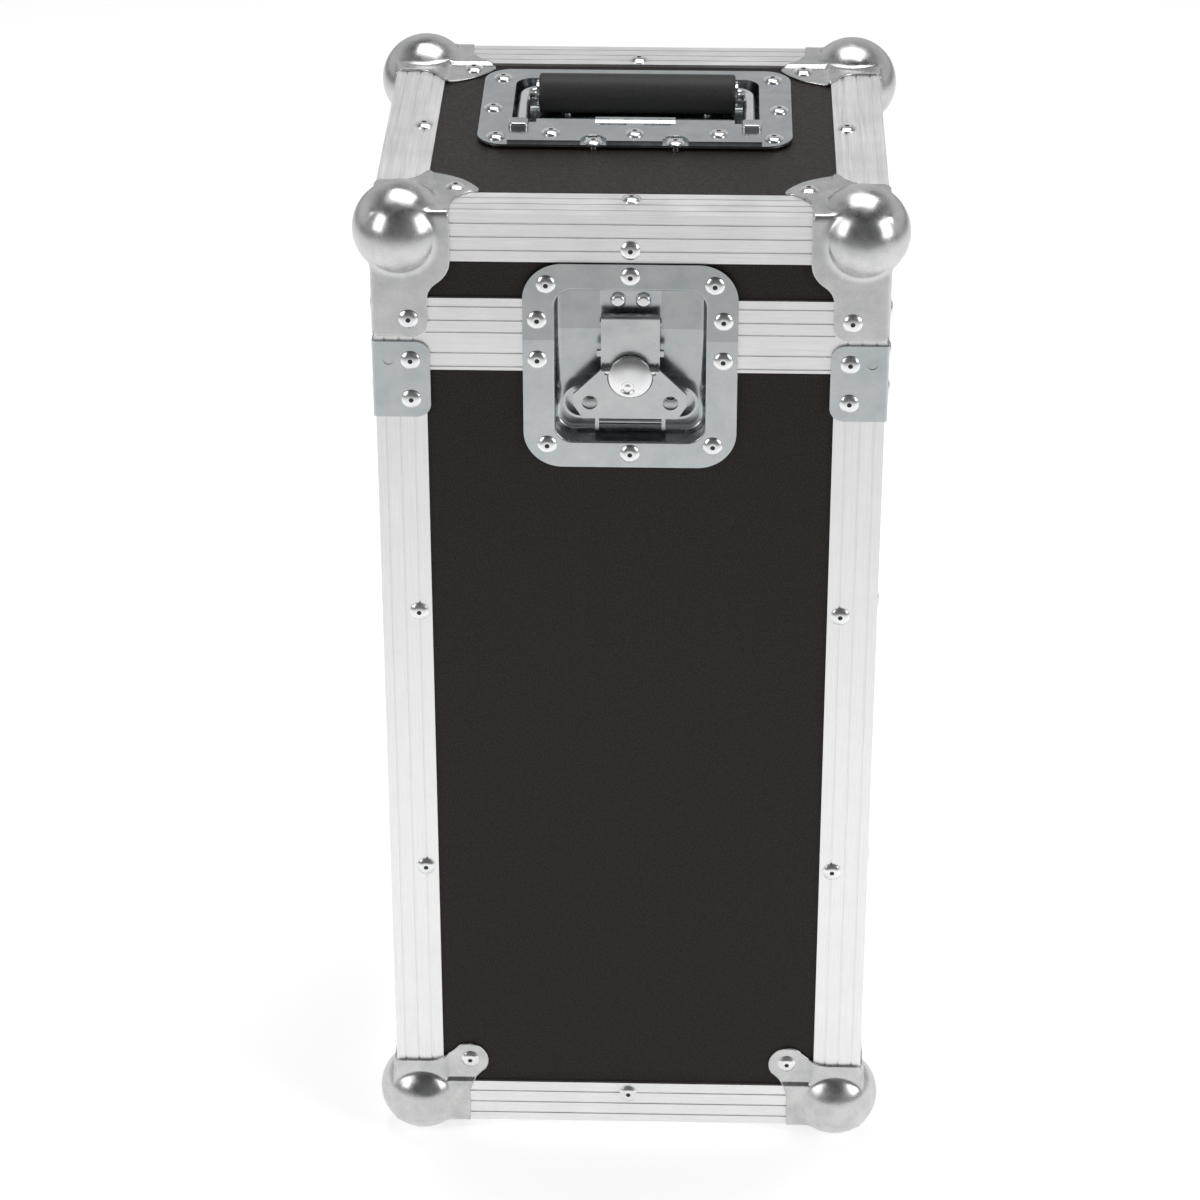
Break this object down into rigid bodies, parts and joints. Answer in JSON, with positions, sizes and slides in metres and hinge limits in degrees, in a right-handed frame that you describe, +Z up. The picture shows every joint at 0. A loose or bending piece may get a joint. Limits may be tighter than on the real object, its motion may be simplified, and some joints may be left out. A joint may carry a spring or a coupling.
{
  "type": "mixer case",
  "caption": "Tall aluminium-edged transport case with ball corners, a hinged lid, a recessed twist latch, a sprung top handle and a foam lining.",
  "frame": {"origin": "on the floor under the middle of the case, at the height of the lower ball corners", "axes": "+X to the right seen from the front, +Z up, and the latch side faces -Y"},
  "size_m": [0.268, 0.24, 0.551],
  "materials": {
    "laminate_panel": "satin phenolic laminate over plywood, dark brown-black with a fine grain",
    "edge_aluminium": "mill finish with fine lengthwise lines",
    "zinc_plate": "bright blue zinc plate, slightly mottled",
    "bright_steel": "bright zinc, polished on the high spots",
    "foam_lining": "dark grey closed-cell foam",
    "grip_rubber": "matt moulded rubber"
  },
  "bodies": {
    "base": {"base_front_panel": "laminate_panel", "base_rear_panel": "laminate_panel", "base_side_panels": "laminate_panel", "base_floor_panel": "laminate_panel", "base_front_posts": "edge_aluminium", "base_rear_posts": "edge_aluminium", "base_front_edge": "edge_aluminium", "base_rear_edge": "edge_aluminium", "base_side_edges": "edge_aluminium", "base_front_closure": "edge_aluminium", "base_rear_closure": "edge_aluminium", "base_side_closures": "edge_aluminium", "base_corner_front_left": "zinc_plate", "base_corner_front_right": "zinc_plate", "base_corner_rear_left": "zinc_plate", "base_corner_rear_right": "zinc_plate", "base_corner_braces": "zinc_plate", "latch_lower_dish": "zinc_plate", "latch_cradle": "zinc_plate", "hinge_base_leaves": "zinc_plate", "cradle_screws": "bright_steel", "hinge_pins": "bright_steel", "base_rivets": "bright_steel", "latch_lower_rivets": "bright_steel", "base_floor_foam": "foam_lining", "base_wall_foam": "foam_lining"},
    "lid": {"lid_front_panel": "laminate_panel", "lid_rear_panel": "laminate_panel", "lid_side_panels": "laminate_panel", "lid_top_panel": "laminate_panel", "lid_posts": "edge_aluminium", "lid_front_edge": "edge_aluminium", "lid_rear_edge": "edge_aluminium", "lid_side_edges": "edge_aluminium", "lid_front_closure": "edge_aluminium", "lid_rear_closure": "edge_aluminium", "lid_side_closures": "edge_aluminium", "lid_corner_front_left": "zinc_plate", "lid_corner_front_right": "zinc_plate", "lid_corner_rear_left": "zinc_plate", "lid_corner_rear_right": "zinc_plate", "lid_rivets": "bright_steel", "lid_wall_foam": "foam_lining", "lid_top_foam": "foam_lining", "latch_upper_dish": "zinc_plate", "latch_strike": "zinc_plate", "strike_rivets": "bright_steel", "latch_upper_rivets": "bright_steel", "handle_dish": "zinc_plate", "handle_bracket": "zinc_plate", "handle_springs": "bright_steel", "handle_rivets": "bright_steel", "hinge_lid_leaves": "zinc_plate"},
    "latch_disc": {"latch_hub": "bright_steel"},
    "latch_flap": {"latch_flap": "bright_steel", "flap_pin": "bright_steel"},
    "latch_hook": {"latch_hook": "bright_steel"},
    "handle": {"handle_bail": "bright_steel", "handle_grip": "grip_rubber", "handle_washers": "bright_steel"}
  },
  "joints": [
    {"name": "lid_hinge", "type": "hinge", "parent": "base", "child": "lid", "pos_m": [0, 0.1137, 0.4755], "axis": [-1, 0, 0], "range_deg": [0, 100]},
    {"name": "latch_turn", "type": "hinge", "parent": "base", "child": "latch_disc", "pos_m": [0, -0.1112, 0.455], "axis": [0, -1, 0], "range_deg": [0, 180]},
    {"name": "hook_lift", "type": "slide", "parent": "base", "child": "latch_hook", "axis": [0, 0, 1], "range_m": [0, 0.01]},
    {"name": "flap_fold", "type": "hinge", "parent": "latch_disc", "child": "latch_flap", "pos_m": [0, -0.1078, 0.458], "axis": [-1, 0, 0], "range_deg": [0, 90]},
    {"name": "handle_lift", "type": "hinge", "parent": "lid", "child": "handle", "pos_m": [0, 0.002, 0.53855], "axis": [1, 0, 0], "range_deg": [0, 90], "stiffness_Nm_per_rad": 0.05, "springref_deg": -34.38}
  ],
  "couplings": [
    {"joint": "latch_turn", "follows": "hook_lift", "rad_per_m": 314.16}
  ]
}
